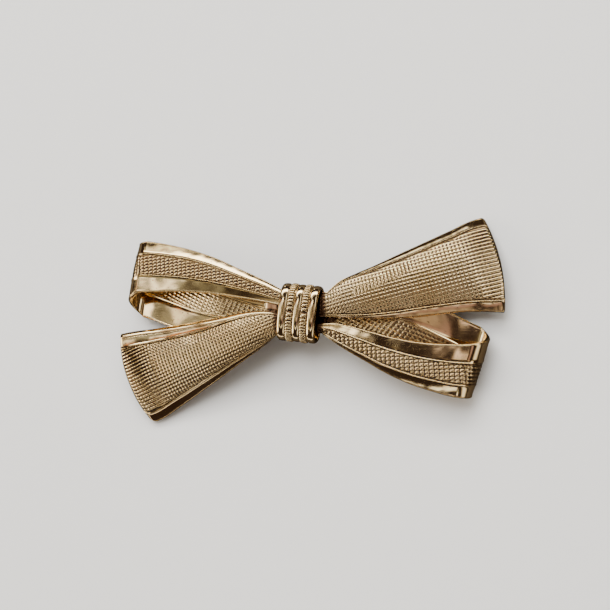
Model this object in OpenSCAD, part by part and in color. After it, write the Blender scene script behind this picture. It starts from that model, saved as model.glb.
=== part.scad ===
// Bow brooch of stamped, gold plated sheet: two loops, two tails, a ribbed knot
// band and a pin at the back. It lies face up, as on a table: z = 0 is the
// surface, +X runs along the bow and +Y is its upper side.
// The left half is the right half turned half round the bow's middle, with its
// own length and angle. "Inner" is the edge that faces the bow's long axis.

/* [Sheet] */
// Thickness of the stamped sheet
sheet = 0.5; // [0.35:0.05:0.7]
// Height of the polished margins above the textured band
margin_raise = 0.12; // [0.05:0.01:0.2]
// Gap between neighbouring pieces
seat = 0.08; // [0.05:0.01:0.15]

/* [Tails] */
// Left tail, from the bow's middle to the middle of its cut end
left_tail_length = 27.6; // [23:0.1:32]
// Right tail, from the bow's middle to the middle of its cut end
right_tail_length = 26.9; // [23:0.1:32]
// Slope of the left tail's middle line from the bow's long axis
left_tail_angle = 17.3; // [13:0.1:22]
// Slope of the right tail's middle line from the bow's long axis
right_tail_angle = 14.3; // [12:0.1:22]
// Straight distance between the corners of a cut end
tail_width = 13.9; // [10:0.1:17]
// Lean of a cut end from square: out of the left one, into the right one
tail_end_lean = 2; // [0:0.5:6]
// How far a cut end swells out between its corners
tail_end_swell = 1.1; // [0.2:0.1:2]
// Rise of a tail's back above the line between its edges
tail_crown = 1.2; // [0.4:0.1:2]
// Height of a cut end's inner corner above the surface
tail_inner_corner = 1.9; // [1:0.1:3]
// Height of a cut end's outer corner above the surface
tail_outer_corner = 0; // [0:0.1:1]
// Left tail's inner margin, as a share of its width
left_tail_margin = 0.18; // [0.1:0.01:0.22]
// Right tail's inner margin, as a share of its width
right_tail_margin = 0.13; // [0.1:0.01:0.22]
// Both tails' outer margins, as shares of their width
tail_outer_margin = 0.12; // [0.08:0.01:0.16]

/* [Loops] */
// Left loop, from the bow's middle to the outside of its fold
left_loop_reach = 26; // [22:0.1:29]
// Right loop, from the bow's middle to the outside of its fold
right_loop_reach = 23.8; // [21:0.1:28]
// Lean of the left loop's fold from square to the long axis
left_fold_lean = 8.5; // [4:0.5:20]
// Lean of the right loop's fold from square to the long axis
right_fold_lean = 19.5; // [6:0.5:24]
// Distance of a fold's outer corner from the long axis
loop_spread = 11.6; // [9:0.1:14]
// Distance of the left fold's inner corner from the long axis, on the front
left_loop_inset = 4; // [3:0.1:5.5]
// Distance of the right fold's inner corner from the long axis, on the front
right_loop_inset = 4.4; // [3:0.1:5.5]
// Left loop's inner margin, as a share of its width
left_loop_margin = 0.29; // [0.2:0.01:0.35]
// Right loop's inner margin, as a share of its width
right_loop_margin = 0.33; // [0.2:0.01:0.35]
// Left loop's outer margin, as a share of its width
left_loop_outer_margin = 0.27; // [0.18:0.01:0.32]
// Right loop's outer margin, as a share of its width
right_loop_outer_margin = 0.22; // [0.18:0.01:0.32]
// Radius of the outside of a fold
fold_radius = 1.8; // [1.2:0.05:2.2]
// Height of a fold's middle at its outer corner
fold_outer_height = 2.4; // [2.2:0.1:3.2]
// Height of a fold's middle at its inner corner
fold_inner_height = 3.4; // [2.6:0.1:4]
// How far the outer edge creeps inwards round the fold
fold_outer_creep = 1.1; // [0.2:0.1:2]
// How far the inner edge creeps inwards round the left fold
left_inner_creep = 3.3; // [1:0.1:4]
// How far the inner edge creeps inwards round the right fold
right_inner_creep = 2.5; // [1:0.1:4]
// Rise of a loop's front above the line between its edges
loop_crown = 0.5; // [0.1:0.05:1]

/* [Knot] */
// Width of the knot band along the bow
knot_width = 5.9; // [4.5:0.1:7.5]
// Length of the knot across the bow
knot_length = 8.2; // [7.8:0.1:10.5]
// Depth of the knot from its top to its back
knot_depth = 4.4; // [4:0.1:5.5]
// Lean of the knot, its upper end to the right
knot_lean = 7; // [0:0.5:12]
// Wall of the band under its ridges
knot_wall = 0.3; // [0.25:0.05:0.4]
// Height of the band's ridges
ridge_raise = 0.3; // [0.15:0.05:0.4]
// Depth of the cuts that mill a ridge
milled_depth = 0.14; // [0.05:0.01:0.2]
// Distance between the cuts of a milled ridge
milled_pitch = 0.45; // [0.4:0.05:0.8]

/* [Pin] */
// Height of the space between the surface and the pin's bar
bar_height = 2.5; // [2.2:0.1:4]
// Length of the bar
bar_length = 23; // [18:0.5:26]
// Width of the bar
bar_width = 2.8; // [2:0.1:4]
// Thickness of the bar
bar_thickness = 0.5; // [0.4:0.05:1]
// Radius of the pin's stem
stem_radius = 0.4; // [0.3:0.05:0.5]
// Outer radius of the hinge's knuckle and of the catch
catch_radius = 0.9; // [0.8:0.05:1.05]
// Wall of the catch
catch_wall = 0.35; // [0.2:0.05:0.4]
// Length of the catch along the stem
catch_length = 2; // [1:0.1:3]
// Width of the hinge's knuckle
hinge_width = 2.2; // [1.5:0.1:2.8]
// Distance from the bar's ends to the hinge and to the catch
bar_overhang = 0.3; // [0:0.1:1]
// Length of the stem's tapered tip
tip_taper = 3.5; // [2:0.1:6]
// Radius at the stem's very tip
tip_radius = 0.1; // [0.05:0.05:0.25]
// How far the tip comes out of the catch
tip_out = 0.3; // [0.1:0.1:1]

/* [Hidden] */

gold = [0.84, 0.7, 0.45];
dark_gold = [0.72, 0.58, 0.36];

// The knot's middle, from the middle that the two halves turn about
knot_offset = [-0.2, 0.3];
// Power of the rounded oval that the knot band follows
oval_power = 2.6;
// Ridges of the knot band: width as a share of the band, 1 where milled
knot_ridges = [
    [0.22, 0],
    [0.17, 1],
    [0.21, 0],
    [0.18, 1],
    [0.22, 0]
];
// A ridge's section: place across it, height
ridge_rows = [[0, 0], [0.1, 0.6], [0.3, 0.94], [0.7, 0.94], [0.9, 0.6]];

// Way round the rounded oval, as a share of its length and depth together
oval_round = 1.7;
// Cuts around the knot band, and the steps that it is made in
oval_cuts = round(oval_round * (knot_length + knot_depth) / milled_pitch);
oval_steps = 2 * oval_cuts;

// Heights of the pieces above each other
bar_top = bar_height + bar_thickness;
knot_middle = bar_top + seat + knot_depth / 2;
knot_inner_length = knot_length / 2 - ridge_raise - knot_wall;
knot_inner_depth = knot_depth / 2 - ridge_raise - knot_wall;

// How far inside the band's edge the loops' roots lie
root_depth = 0.3;
// Where the loops leave the knot band, and how far its leaning edges reach
loop_root_x = knot_width / 2 - root_depth;
band_reach = knot_width / 2 + knot_inner_length * sin(knot_lean) + abs(knot_offset.x);
// Half of the gap between the roots of the two halves
butt = seat;
// Edges of the roots in the band, as shares of its inner half length; the
// outer ones are shares of the room on their own side
root_fit = 0.94;
left_loop_tuck = 0.15 * knot_inner_length;
right_loop_tuck = 0.26 * knot_inner_length;
tail_root_inner = -0.1 * knot_inner_length;
loop_root_inner = -0.36 * knot_inner_length;
back_root_outer = -0.56 * knot_inner_length;
back_root_inner = 0.54 * knot_inner_length;
// Tops of the roots
root_high = knot_middle + 0.42 * knot_inner_depth;
root_low = knot_middle + 0.16 * knot_inner_depth;
back_root = max([for (half = [-1, 1]) oval_floor(in_band(back_root_inner, half))])
    + seat + margin_raise;
// Length over which a loop's back comes down from the knot to the bar
back_drop = 2.6;
// How far it stays level past the bar's end
bar_clear = 0.6;
// The stretch of a loop's back that lies on the bar
back_level = bar_top + seat + margin_raise;
level_end = bar_length / 2 + bar_clear;
level_start = band_reach + back_drop;

// Places along the pin, from the bow's middle
hinge_x = -bar_length / 2 + bar_overhang + catch_radius;
catch_x = bar_length / 2 - bar_overhang - catch_length;
tip_x = catch_x + catch_length + tip_out;

// A tail from the knot to its end: place along, share of its margins, share of
// its fall, share of its crown
tail_rows = [
    [0.00, 0.70, 0.00, 0.25],
    [0.10, 0.70, 0.05, 0.50],
    [0.25, 0.84, 0.19, 0.75],
    [0.45, 1.06, 0.42, 0.92],
    [0.70, 1.00, 0.72, 1.00],
    [0.90, 0.97, 0.93, 1.00],
    [1.00, 1.00, 1.00, 0.95]
];
// Edges of the tails off their straight lines, as shares of the width: place
// along, left tail's outer, left tail's inner, right tail's outer, right
// tail's inner
tail_edges = [
    [0.00, 0.000, 0.000, 0.000, 0.000],
    [0.04, 0.014, -0.024, 0.026, -0.008],
    [0.10, 0.028, -0.046, 0.046, -0.015],
    [0.20, 0.032, -0.054, 0.040, -0.030],
    [0.32, 0.034, -0.044, 0.034, -0.037],
    [0.45, 0.040, -0.030, 0.035, -0.032],
    [0.60, 0.038, -0.017, 0.032, -0.009],
    [0.77, 0.033, -0.011, 0.029, 0.016],
    [0.90, 0.026, -0.010, 0.026, 0.013],
    [1.00, 0.000, 0.000, 0.000, 0.000]
];
// Section of a tail: place from its inner to its outer edge, rise
tail_section = [
    [0.00, 0.00],
    [0.15, 0.42],
    [0.33, 0.80],
    [0.50, 0.97],
    [0.68, 0.98],
    [0.86, 0.70],
    [1.00, 0.00]
];

// Front of a loop from the knot to its fold: place along, share of the outer
// edge's spread, share of the left loop's inner edge's spread, share of the
// right loop's, share of its crown, share of its fall
front_rows = [
    [0.00, 0.00, 0.00, 0.00, 0.40, 0.00],
    [0.04, 0.06, 0.06, -0.03, 0.50, 0.01],
    [0.10, 0.15, 0.17, -0.04, 0.60, 0.03],
    [0.20, 0.28, 0.33, 0.10, 0.76, 0.09],
    [0.30, 0.40, 0.48, 0.29, 0.90, 0.16],
    [0.50, 0.64, 0.76, 0.66, 1.00, 0.36],
    [0.70, 0.82, 0.93, 0.91, 0.90, 0.62],
    [0.90, 0.95, 0.99, 1.00, 0.55, 0.93],
    [1.00, 1.00, 1.00, 1.00, 0.40, 1.00]
];
// Back of a loop from the knot to its fold: place along, share of the outer
// edge's spread, share of the inner edge's spread
back_rows = [
    [0.00, 0.00, 0.00],
    [0.10, 0.06, -0.10],
    [0.20, 0.15, -0.22],
    [0.35, 0.31, -0.32],
    [0.50, 0.455, -0.22],
    [0.65, 0.635, 0.02],
    [0.80, 0.80, 0.42],
    [0.92, 0.92, 0.78],
    [1.00, 1.00, 1.00]
];
// Section of a loop: place from its inner to its outer edge, rise
loop_section = [[0, 0], [0.25, 0.75], [0.5, 1], [0.75, 0.75], [1, 0]];
// Stations along the ribbons
tail_stations = [0, 0.04, 0.1, 0.18, 0.27, 0.36, 0.45, 0.55, 0.65, 0.75, 0.84, 0.92, 1];
loop_stations = [0, 0.05, 0.12, 0.21, 0.32, 0.43, 0.54, 0.65, 0.76, 0.86, 0.94, 1];
fold_steps = 10;
// Columns across a ribbon: zone (0 inner margin, 1 band, 2 outer margin),
// place in that zone, raised or not
columns = [
    [0, 0, 1], [0, 0.5, 1], [0, 1, 1],
    [1, 0.02, 0], [1, 0.21, 0], [1, 0.4, 0], [1, 0.6, 0], [1, 0.79, 0], [1, 0.98, 0],
    [2, 0, 1], [2, 0.5, 1], [2, 1, 1]
];

// The two tails: length, angle, lean of the end, the root's outer edge, inner
// margin, columns of their edges
left_tail_sizes = [
    left_tail_length, left_tail_angle, tail_end_lean, band_end(1, -1), left_tail_margin, 1, 2
];
right_tail_sizes = [
    right_tail_length, right_tail_angle, -tail_end_lean, band_end(1, 1), right_tail_margin, 3, 4
];
// The two loops: reach, lean of the fold, the root's outer edge, inner creep,
// inset, margins, column of their inner edge
left_loop_sizes = [
    left_loop_reach, left_fold_lean, band_end(-1, -1) + left_loop_tuck, left_inner_creep,
    left_loop_inset, left_loop_margin, left_loop_outer_margin, 2
];
right_loop_sizes = [
    right_loop_reach, right_fold_lean, band_end(-1, 1) + right_loop_tuck, right_inner_creep,
    right_loop_inset, right_loop_margin, right_loop_outer_margin, 3
];

// The origin is under the middle of the whole: from the corners of the ends
left_end = [for (f = [0 : 0.1 : 1]) tail_point(left_tail_sizes, 1, f)];
right_end = [for (f = [0 : 0.1 : 1]) tail_point(right_tail_sizes, 1, f)];
bow_middle = [
    (max([for (p = left_end) p.x]) - max([for (p = right_end) p.x])) / 2,
    (max([for (p = left_end) p.y]) - max([for (p = right_end) p.y])) / 2
];

function mix(a, b, t) = a * (1 - t) + b * t;
function ease(t) = let (u = min(max(t, 0), 1)) u * u * (3 - 2 * u);

// The row of a table that x comes after
function row_before(t, x) =
    max(0, min(len(t) - 2, len([for (r = t) if (r[0] < x) 1]) - 1));

// Slope of a table's column at a row
function slope(t, c, i) =
    let (a = max(i - 1, 0), b = min(i + 1, len(t) - 1))
    (t[b][c] - t[a][c]) / (t[b][0] - t[a][0]);

// Value of a table's column at x, on a smooth curve through its rows
function curve(t, c, x) =
    let (
        i = row_before(t, x),
        h = t[i + 1][0] - t[i][0],
        u = (x - t[i][0]) / h
    )
    (1 + 2 * u) * (1 - u) * (1 - u) * t[i][c]
        + u * (1 - u) * (1 - u) * h * slope(t, c, i)
        + u * u * (3 - 2 * u) * t[i + 1][c]
        - u * u * (1 - u) * h * slope(t, c, i + 1);

// Place across a ribbon of one of its columns, from its inner to its outer edge
function across(column, inner_margin, outer_margin) =
    column[0] == 0 ? column[1] * inner_margin
    : column[0] == 1 ? mix(inner_margin, 1 - outer_margin, column[1])
    : 1 - (1 - column[1]) * outer_margin;

// Inside of the knot band's lower half, at a place along the knot
function oval_floor(y) =
    knot_middle
        - knot_inner_depth * pow(1 - pow(abs(y) / knot_inner_length, oval_power), 1 / oval_power);

// Place along the leaning knot of a loop's root at y, on the right half (1) or
// the left half (-1)
function in_band(y, half) =
    (y - half * knot_offset.y) * cos(knot_lean)
        + (band_reach - half * knot_offset.x) * sin(knot_lean);

// Room for a root's edge at the band's upper (1) or lower (-1) end, likewise
function band_end(way, half) =
    way * root_fit * knot_inner_length / cos(knot_lean)
        + half * knot_offset.y
        - (band_reach - half * knot_offset.x) * tan(knot_lean);

// Point of a tail's face: s from the knot to the end, f from its inner to its
// outer edge
function tail_point(sizes, s, f) =
    let (
        way = [cos(sizes[1]), sin(sizes[1])],
        chord = [-sin(sizes[1] + sizes[2]), cos(sizes[1] + sizes[2])] * tail_width / 2,
        inner = mix([band_reach, tail_root_inner], sizes[0] * way - chord, s)
            + [0, curve(tail_edges, sizes[6], s) * tail_width],
        outer = mix([band_reach, sizes[3]], sizes[0] * way + chord, s)
            + [0, curve(tail_edges, sizes[5], s) * tail_width],
        swell = tail_end_swell * s * s * 4 * f * (1 - f),
        plan = mix(inner, outer, f) + swell * way,
        fall = curve(tail_rows, 2, s),
        low = mix(
            mix(root_high, tail_inner_corner + sheet, fall),
            mix(root_low, tail_outer_corner + sheet, fall),
            f
        ),
        rise = tail_crown * curve(tail_rows, 3, s) * curve(tail_section, 1, f)
    )
    [plan.x, plan.y, low + rise];

// Where a loop's fold starts on its front and ends on its back
function fold_line(sizes, y) =
    let (middle = sizes[0] - fold_radius * cos(sizes[1]), across_y = (loop_spread + sizes[4]) / 2)
    [middle + (y + across_y) * tan(sizes[1]), y];

// Point of a loop's front face
function front_point(sizes, s, f) =
    let (
        to_inner = fold_line(sizes, -sizes[4]),
        to_outer = fold_line(sizes, -loop_spread),
        inner = [
            mix(loop_root_x, to_inner.x, s),
            mix(loop_root_inner, to_inner.y, curve(front_rows, sizes[7], s))
        ],
        outer = [
            mix(loop_root_x, to_outer.x, s),
            mix(sizes[2], to_outer.y, curve(front_rows, 1, s))
        ],
        plan = mix(inner, outer, f),
        fall = curve(front_rows, 5, s),
        low = mix(
            mix(root_high, fold_inner_height + fold_radius, fall),
            mix(root_low, fold_outer_height + fold_radius, fall),
            f
        ),
        rise = loop_crown * curve(front_rows, 4, s) * curve(loop_section, 1, f)
    )
    [plan.x, plan.y, low + rise];

// Point of a loop's outside round its fold, k from 0 on the front to 1
function fold_point(sizes, k, f) =
    let (
        inner = fold_line(sizes, -sizes[4] + sizes[3] * k),
        outer = fold_line(sizes, -loop_spread + fold_outer_creep * k),
        rise = loop_crown * curve(front_rows, 4, 1) * (1 - k) * curve(loop_section, 1, f),
        out = (fold_radius + rise) * sin(180 * k),
        plan = mix(inner, outer, f) + out * [cos(sizes[1]), -sin(sizes[1])],
        middle = mix(fold_inner_height, fold_outer_height, f)
    )
    [plan.x, plan.y, middle + (fold_radius + rise) * cos(180 * k)];

// Point of a loop's back, on its outside, which faces down
function back_point(sizes, s, f) =
    let (
        to_inner = fold_line(sizes, -sizes[4] + sizes[3]),
        to_outer = fold_line(sizes, -loop_spread + fold_outer_creep),
        inner = [
            mix(loop_root_x, to_inner.x, s),
            mix(back_root_inner, to_inner.y, curve(back_rows, 2, s))
        ],
        outer = [
            mix(loop_root_x, to_outer.x, s),
            mix(back_root_outer, to_outer.y, curve(back_rows, 1, s))
        ],
        plan = mix(inner, outer, f),
        end = mix(to_inner, to_outer, f).x,
        fold_low = mix(fold_inner_height, fold_outer_height, f) - fold_radius,
        fallen = mix(back_level, fold_low, ease((plan.x - level_end) / (end - level_end))),
        z = mix(fallen, back_root, ease((level_start - plan.x) / (level_start - band_reach)))
    )
    [plan.x, plan.y, z];

// The same point moved along to the root's blunt end inside the knot
function blunt(p) = [butt, p.y, p.z];

function tail_grid(sizes) =
    let (stations = concat([-1], tail_stations))
    [for (s = stations) [for (c = columns)
        let (
            at = max(s, 0),
            margins = curve(tail_rows, 1, at) * [sizes[4], tail_outer_margin],
            p = tail_point(sizes, at, across(c, margins[0], margins[1]))
        )
        s < 0 ? blunt(p) : p
    ]];

function loop_row(kind, sizes, s) =
    [for (i = [len(columns) - 1 : -1 : 0])
        let (f = across(columns[i], sizes[5], sizes[6]))
        kind == 0 ? front_point(sizes, s, f)
        : kind == 1 ? fold_point(sizes, s, f)
        : back_point(sizes, s, f)
    ];

function loop_grid(sizes) =
    let (last = len(loop_stations) - 1)
    concat(
        [[for (p = loop_row(0, sizes, 0)) blunt(p)]],
        [for (s = loop_stations) loop_row(0, sizes, s)],
        [for (i = [1 : fold_steps - 1]) loop_row(1, sizes, i / fold_steps)],
        [for (i = [last : -1 : 0]) loop_row(2, sizes, loop_stations[i])],
        [[for (p = loop_row(2, sizes, 0)) blunt(p)]]
    );

// Outward direction of a grid's face at one of its points
function facing(g, i, j) =
    let (
        along = g[min(i + 1, len(g) - 1)][j] - g[max(i - 1, 0)][j],
        over = g[i][min(j + 1, len(g[0]) - 1)] - g[i][max(j - 1, 0)],
        n = cross(along, over)
    )
    n / norm(n);

function grid_faces(rows, cols, first, turned) =
    [for (i = [0 : rows - 2], j = [0 : cols - 2])
        let (a = first + i * cols + j, b = a + 1, c = b + cols, d = a + cols)
        each turned ? [[a, d, c], [a, c, b]] : [[a, b, c], [a, c, d]]
    ];

function rim(rows, cols) = concat(
    [for (j = [0 : cols - 2]) j],
    [for (i = [0 : rows - 2]) (i + 1) * cols - 1],
    [for (j = [cols - 1 : -1 : 1]) (rows - 1) * cols + j],
    [for (i = [rows - 1 : -1 : 1]) i * cols]
);

// A ribbon of sheet under a grid of points of its face, its margins raised
module ribbon(g) {
    rows = len(g);
    cols = len(g[0]);
    normals = [for (i = [0 : rows - 1]) [for (j = [0 : cols - 1]) facing(g, i, j)]];
    face = [for (i = [0 : rows - 1], j = [0 : cols - 1])
        g[i][j] + normals[i][j] * margin_raise * columns[j][2]];
    under = [for (i = [0 : rows - 1], j = [0 : cols - 1]) g[i][j] - normals[i][j] * sheet];
    count = rows * cols;
    edge = rim(rows, cols);
    walls = [for (i = [0 : len(edge) - 1])
        let (a = edge[i], b = edge[(i + 1) % len(edge)])
        each [[a, a + count, b + count], [a, b + count, b]]
    ];
    polyhedron(
        points = concat(face, under),
        faces = concat(
            grid_faces(rows, cols, 0, false),
            grid_faces(rows, cols, count, true),
            walls
        ),
        convexity = 6
    );
}

// Puts a piece of the right half in its place
module right_half() {
    translate([bow_middle.x, bow_middle.y, 0]) children();
}

// Puts a piece of the right half in the left half's place
module left_half() {
    translate([bow_middle.x, bow_middle.y, 0]) rotate([0, 0, 180]) children();
}

module left_tail() {
    color(gold) left_half() ribbon(tail_grid(left_tail_sizes));
}

module right_tail() {
    color(gold) right_half() ribbon(tail_grid(right_tail_sizes));
}

module left_loop() {
    color(gold) left_half() ribbon(loop_grid(left_loop_sizes));
}

module right_loop() {
    color(gold) right_half() ribbon(loop_grid(right_loop_sizes));
}

// Start of a ridge, as a share of the band's width
function ridge_start(i) = i == 0 ? 0 : ridge_start(i - 1) + knot_ridges[i - 1][0];

// The knot band's section, between cuts (0) or in a cut (1): place across the
// band, height above its inside
function band_section(cut) =
    let (total = ridge_start(len(knot_ridges)))
    concat(
        [for (i = [0 : len(knot_ridges) - 1], r = ridge_rows)
            [
                knot_width * ((ridge_start(i) + r[0] * knot_ridges[i][0]) / total - 0.5),
                knot_wall + (ridge_raise - cut * milled_depth * knot_ridges[i][1]) * r[1]
            ]
        ],
        [[knot_width / 2, knot_wall], [knot_width / 2, 0], [-knot_width / 2, 0]]
    );

// Sign and power of a number, for the rounded oval
function bent(v) = sign(v) * pow(abs(v), 2 / oval_power);

module knot_band() {
    sections = [band_section(0), band_section(1)];
    n = len(sections[0]);
    points = [for (i = [0 : oval_steps - 1])
        let (
            a = 360 * i / oval_steps,
            c = cos(a),
            s = sin(a),
            inside = [knot_inner_length * bent(c), knot_inner_depth * bent(s)],
            steep = [
                sign(c) * pow(abs(inside.x) / knot_inner_length, oval_power - 1) / knot_inner_length,
                sign(s) * pow(abs(inside.y) / knot_inner_depth, oval_power - 1) / knot_inner_depth
            ],
            out = steep / norm(steep)
        )
        for (p = sections[i % 2]) [p.x, inside.x + out.x * p.y, inside.y + out.y * p.y]
    ];
    faces = [for (i = [0 : oval_steps - 1], j = [0 : n - 1])
        let (
            a = i * n + j,
            b = i * n + (j + 1) % n,
            c = ((i + 1) % oval_steps) * n + (j + 1) % n,
            d = ((i + 1) % oval_steps) * n + j
        )
        each [[a, b, c], [a, c, d]]
    ];
    color(gold)
        translate([bow_middle.x + knot_offset.x, bow_middle.y + knot_offset.y, knot_middle])
        rotate([0, 0, -knot_lean])
        polyhedron(points = points, faces = faces, convexity = 6);
}

// Post from the height of the pin's stem up into the bar
module post(x, length, width) {
    translate([x, -width / 2, catch_radius])
        cube([length, width, bar_height + bar_thickness / 2 - catch_radius]);
}

module bar() {
    end = (bar_length - bar_width) / 2;
    translate([-end, -bar_width / 2, bar_height]) cube([2 * end, bar_width, bar_thickness]);
    for (x = [-end, end])
        translate([x, 0, bar_height]) cylinder(h = bar_thickness, r = bar_width / 2, $fn = 48);
}

module hinge() {
    translate([hinge_x, hinge_width / 2, catch_radius])
        rotate([90, 0, 0]) cylinder(h = hinge_width, r = catch_radius, $fn = 32);
    post(hinge_x - catch_radius, 2 * catch_radius, hinge_width);
}

// Straight stem with a tapered tip, along +X from the hinge
module stem() {
    length = tip_x - hinge_x;
    translate([hinge_x, 0, catch_radius])
        rotate([0, 90, 0])
        rotate_extrude($fn = 32)
        polygon([
            [0, 0],
            [stem_radius, 0],
            [stem_radius, length - tip_taper],
            [tip_radius, length],
            [0, length]
        ]);
}

// Tube with a slot in its side, on a post
module catch() {
    over = 1;
    difference() {
        union() {
            translate([catch_x, 0, catch_radius])
                rotate([0, 90, 0]) cylinder(h = catch_length, r = catch_radius, $fn = 32);
            post(catch_x, catch_length, 2 * catch_wall);
        }
        translate([catch_x - over, 0, catch_radius])
            rotate([0, 90, 0])
            cylinder(h = catch_length + 2 * over, r = catch_radius - catch_wall, $fn = 32);
        translate([catch_x - over, 0, catch_radius - stem_radius])
            cube([catch_length + 2 * over, 2 * catch_radius, 2 * stem_radius]);
    }
}

module pin_back() {
    color(dark_gold)
        translate([bow_middle.x, bow_middle.y, 0]) {
            bar();
            hinge();
            stem();
            catch();
        }
}

left_loop();
right_loop();
left_tail();
right_tail();
knot_band();
pin_back();
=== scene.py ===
import math

import bpy
import numpy as np
from mathutils import Matrix, Vector


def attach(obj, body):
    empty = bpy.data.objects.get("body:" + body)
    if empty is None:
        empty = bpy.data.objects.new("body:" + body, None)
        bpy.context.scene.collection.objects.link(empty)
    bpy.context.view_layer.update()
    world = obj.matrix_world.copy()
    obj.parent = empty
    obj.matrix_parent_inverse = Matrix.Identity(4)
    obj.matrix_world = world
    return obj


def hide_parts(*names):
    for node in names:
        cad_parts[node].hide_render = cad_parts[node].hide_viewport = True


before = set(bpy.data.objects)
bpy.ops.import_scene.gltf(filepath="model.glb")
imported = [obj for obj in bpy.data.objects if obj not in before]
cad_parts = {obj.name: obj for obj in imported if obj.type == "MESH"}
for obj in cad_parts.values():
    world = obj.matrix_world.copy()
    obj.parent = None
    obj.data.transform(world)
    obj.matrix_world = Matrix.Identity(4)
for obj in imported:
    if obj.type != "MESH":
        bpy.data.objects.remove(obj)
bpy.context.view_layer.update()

MM = 0.001
# The bow's halves. What is on the left is made on the right and turned half round
LEFT = -1
RIGHT = 1

# Sizes, in millimetres and degrees, the same as the part's source

SHEET = 0.5
MARGIN_RAISE = 0.12
SEAT = 0.08

TAIL_WIDTH = 13.9
TAIL_END_SWELL = 1.1
TAIL_CROWN = 1.2
TAIL_INNER_CORNER = 1.9
TAIL_OUTER_CORNER = 0.0
TAIL_OUTER_MARGIN = 0.12

LOOP_SPREAD = 11.6
FOLD_RADIUS = 1.8
FOLD_OUTER_HEIGHT = 2.4
FOLD_INNER_HEIGHT = 3.4
FOLD_OUTER_CREEP = 1.1
LOOP_CROWN = 0.5

KNOT_WIDTH = 5.9
KNOT_LENGTH = 8.2
KNOT_DEPTH = 4.4
KNOT_LEAN = 7.0
KNOT_WALL = 0.3
RIDGE_RAISE = 0.3
OVAL_CUTS = 48
OVAL_POWER = 2.6
KNOT_OFFSET = np.array([-0.2, 0.3])

BAR_TOP = 3.0
BAR_LENGTH = 23.0
BOW_MIDDLE = np.array([0.50571, 0.66611])

KNOT_MIDDLE = BAR_TOP + SEAT + KNOT_DEPTH / 2
KNOT_INNER_LENGTH = KNOT_LENGTH / 2 - RIDGE_RAISE - KNOT_WALL
KNOT_INNER_DEPTH = KNOT_DEPTH / 2 - RIDGE_RAISE - KNOT_WALL
LOOP_ROOT_X = KNOT_WIDTH / 2 - 0.3
LEAN = math.radians(KNOT_LEAN)
BAND_REACH = KNOT_WIDTH / 2 + KNOT_INNER_LENGTH * math.sin(LEAN) + abs(KNOT_OFFSET[0])
BAND_ROOM = 0.94 * KNOT_INNER_LENGTH
TAIL_ROOT_INNER = -0.1 * KNOT_INNER_LENGTH
LOOP_ROOT_INNER = -0.36 * KNOT_INNER_LENGTH
BACK_ROOT_OUTER = -0.56 * KNOT_INNER_LENGTH
BACK_ROOT_INNER = 0.54 * KNOT_INNER_LENGTH
ROOT_HIGH = KNOT_MIDDLE + 0.42 * KNOT_INNER_DEPTH
ROOT_LOW = KNOT_MIDDLE + 0.16 * KNOT_INNER_DEPTH
BACK_LEVEL = BAR_TOP + SEAT + MARGIN_RAISE
LEVEL_END = BAR_LENGTH / 2 + 0.6
LEVEL_START = BAND_REACH + 2.6

# A tail: place along, share of the margins, fall, crown
TAIL_ROWS = np.array([
    [0.00, 0.70, 0.00, 0.25],
    [0.10, 0.70, 0.05, 0.50],
    [0.25, 0.84, 0.19, 0.75],
    [0.45, 1.06, 0.42, 0.92],
    [0.70, 1.00, 0.72, 1.00],
    [0.90, 0.97, 0.93, 1.00],
    [1.00, 1.00, 1.00, 0.95],
])
# The tails' edges: place along, left tail's outer and inner edge off their lines, right tail's likewise
TAIL_EDGES = np.array([
    [0.00, 0.000, 0.000, 0.000, 0.000],
    [0.04, 0.014, -0.024, 0.026, -0.008],
    [0.10, 0.028, -0.046, 0.046, -0.015],
    [0.20, 0.032, -0.054, 0.040, -0.030],
    [0.32, 0.034, -0.044, 0.034, -0.037],
    [0.45, 0.040, -0.030, 0.035, -0.032],
    [0.60, 0.038, -0.017, 0.032, -0.009],
    [0.77, 0.033, -0.011, 0.029, 0.016],
    [0.90, 0.026, -0.010, 0.026, 0.013],
    [1.00, 0.000, 0.000, 0.000, 0.000],
])
# A tail's section: place from the inner to the outer edge, rise
TAIL_SECTION = np.array([
    [0.00, 0.00],
    [0.15, 0.42],
    [0.33, 0.80],
    [0.50, 0.97],
    [0.68, 0.98],
    [0.86, 0.70],
    [1.00, 0.00],
])
# A loop's front: place along, outer spread, inner spread of the left loop and of the right one, crown, fall
FRONT_ROWS = np.array([
    [0.00, 0.00, 0.00, 0.00, 0.40, 0.00],
    [0.04, 0.06, 0.06, -0.03, 0.50, 0.01],
    [0.10, 0.15, 0.17, -0.04, 0.60, 0.03],
    [0.20, 0.28, 0.33, 0.10, 0.76, 0.09],
    [0.30, 0.40, 0.48, 0.29, 0.90, 0.16],
    [0.50, 0.64, 0.76, 0.66, 1.00, 0.36],
    [0.70, 0.82, 0.93, 0.91, 0.90, 0.62],
    [0.90, 0.95, 0.99, 1.00, 0.55, 0.93],
    [1.00, 1.00, 1.00, 1.00, 0.40, 1.00],
])
# A loop's back: place along, outer spread, inner spread
BACK_ROWS = np.array([
    [0.00, 0.00, 0.00],
    [0.10, 0.06, -0.10],
    [0.20, 0.15, -0.22],
    [0.35, 0.31, -0.32],
    [0.50, 0.455, -0.22],
    [0.65, 0.635, 0.02],
    [0.80, 0.80, 0.42],
    [0.92, 0.92, 0.78],
    [1.00, 1.00, 1.00],
])
# A loop's section: place from the inner to the outer edge, rise
LOOP_SECTION = np.array([[0, 0], [0.25, 0.75], [0.5, 1], [0.75, 0.75], [1, 0]], float)

# Curves


def mix(a, b, t):
    return a * (1 - t) + b * t


def ease(t):
    """From 0 to 1, softly, as t goes from 0 to 1."""
    u = np.clip(t, 0, 1)
    return u * u * (3 - 2 * u)


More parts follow.
